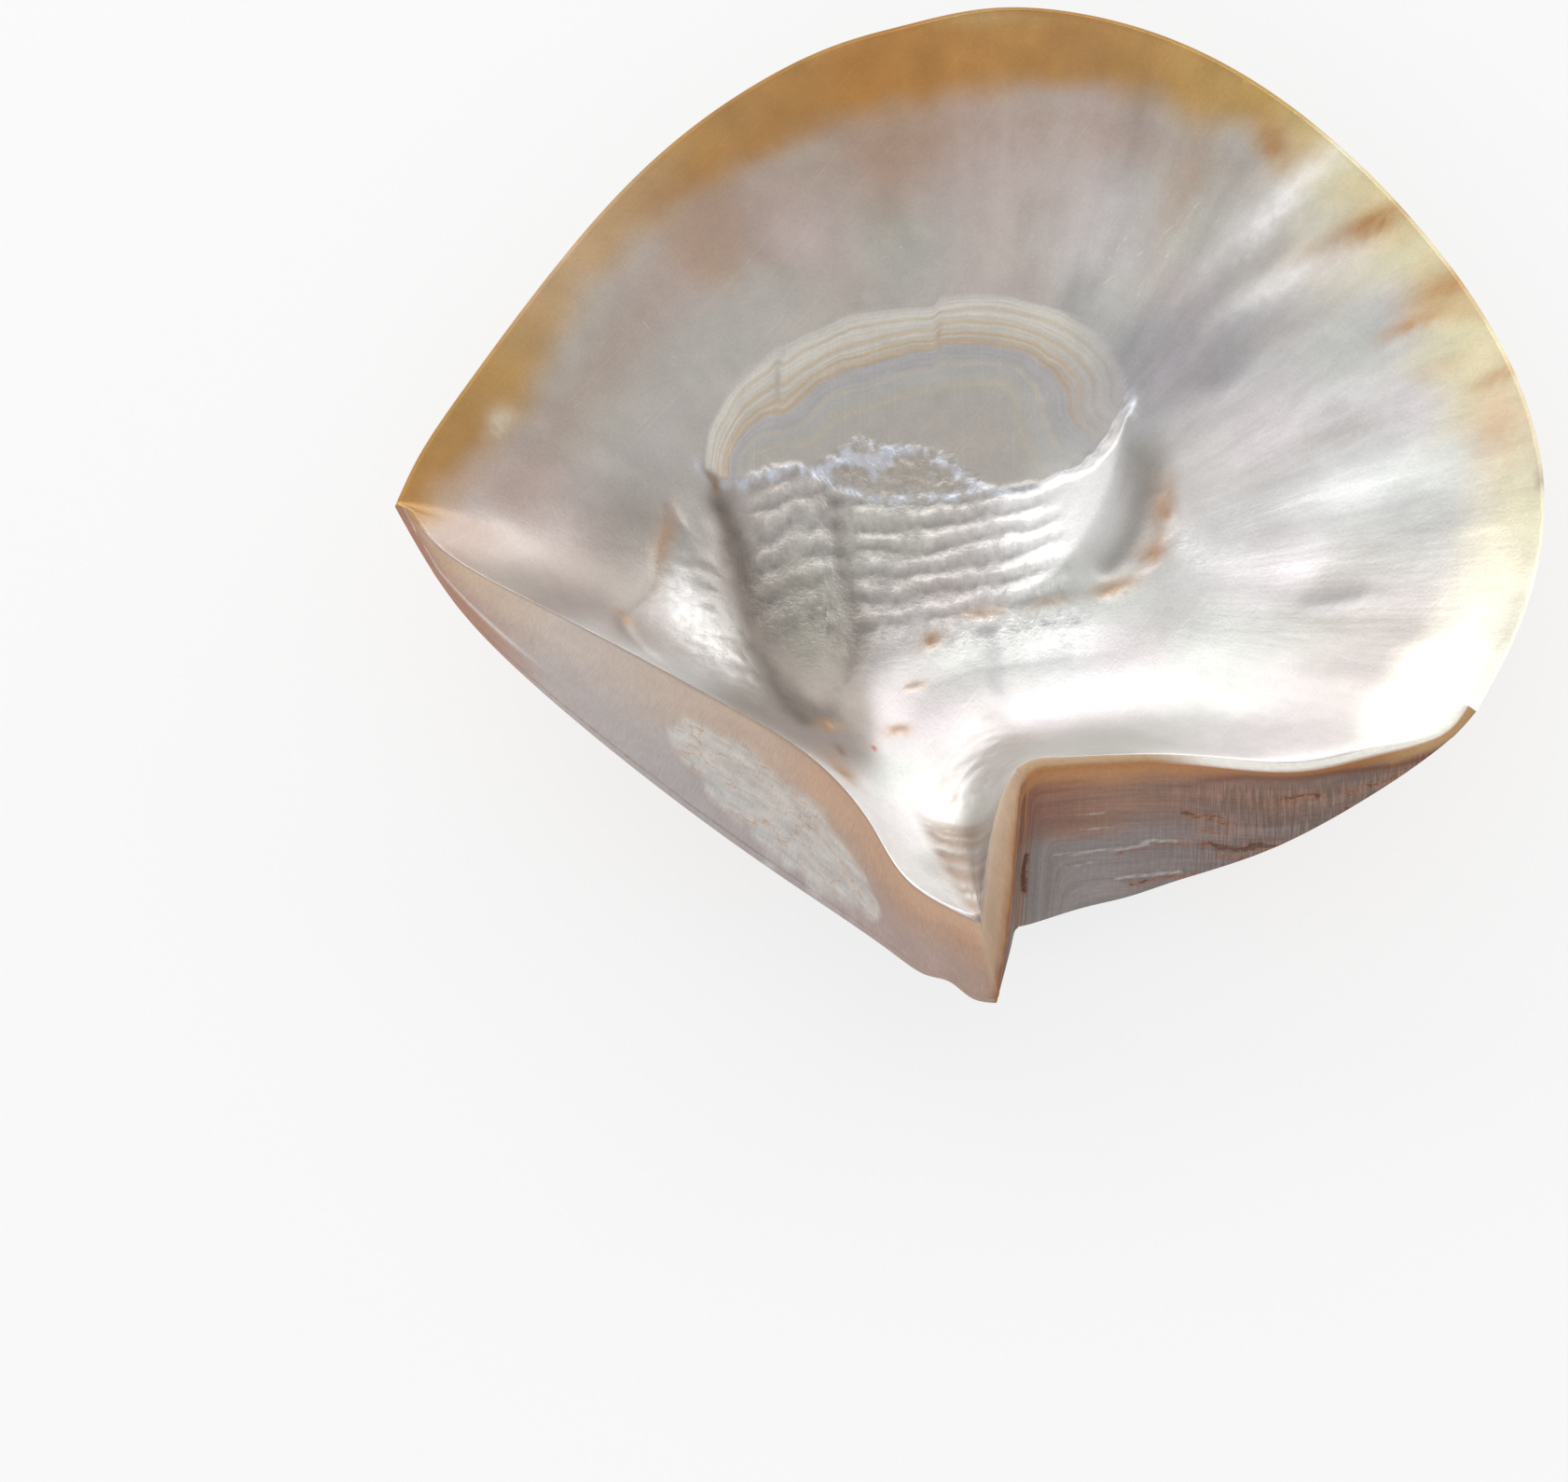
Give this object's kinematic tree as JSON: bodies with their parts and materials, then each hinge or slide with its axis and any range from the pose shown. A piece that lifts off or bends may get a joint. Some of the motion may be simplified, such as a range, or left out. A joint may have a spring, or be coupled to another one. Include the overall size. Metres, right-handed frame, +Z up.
{
  "type": "pearl oyster shell",
  "caption": "Single polished pearl oyster valve: a shallow nacre bowl with a ground hinge band, a beak, a notch wall and a thin rounded margin, resting on its outer side.",
  "frame": {"origin": "centre of the valve's plan box, on the surface that it rests on", "axes": "+Z up out of the bowl, +Y from the beak towards the growing margin, +X towards the front end with the byssal notch"},
  "size_m": [0.1598, 0.1594, 0.0281],
  "materials": {
    "nacre": "natural mother-of-pearl, cleaned and polished"
  },
  "bodies": {
    "root": {"valve": "nacre"}
  },
  "joints": []
}
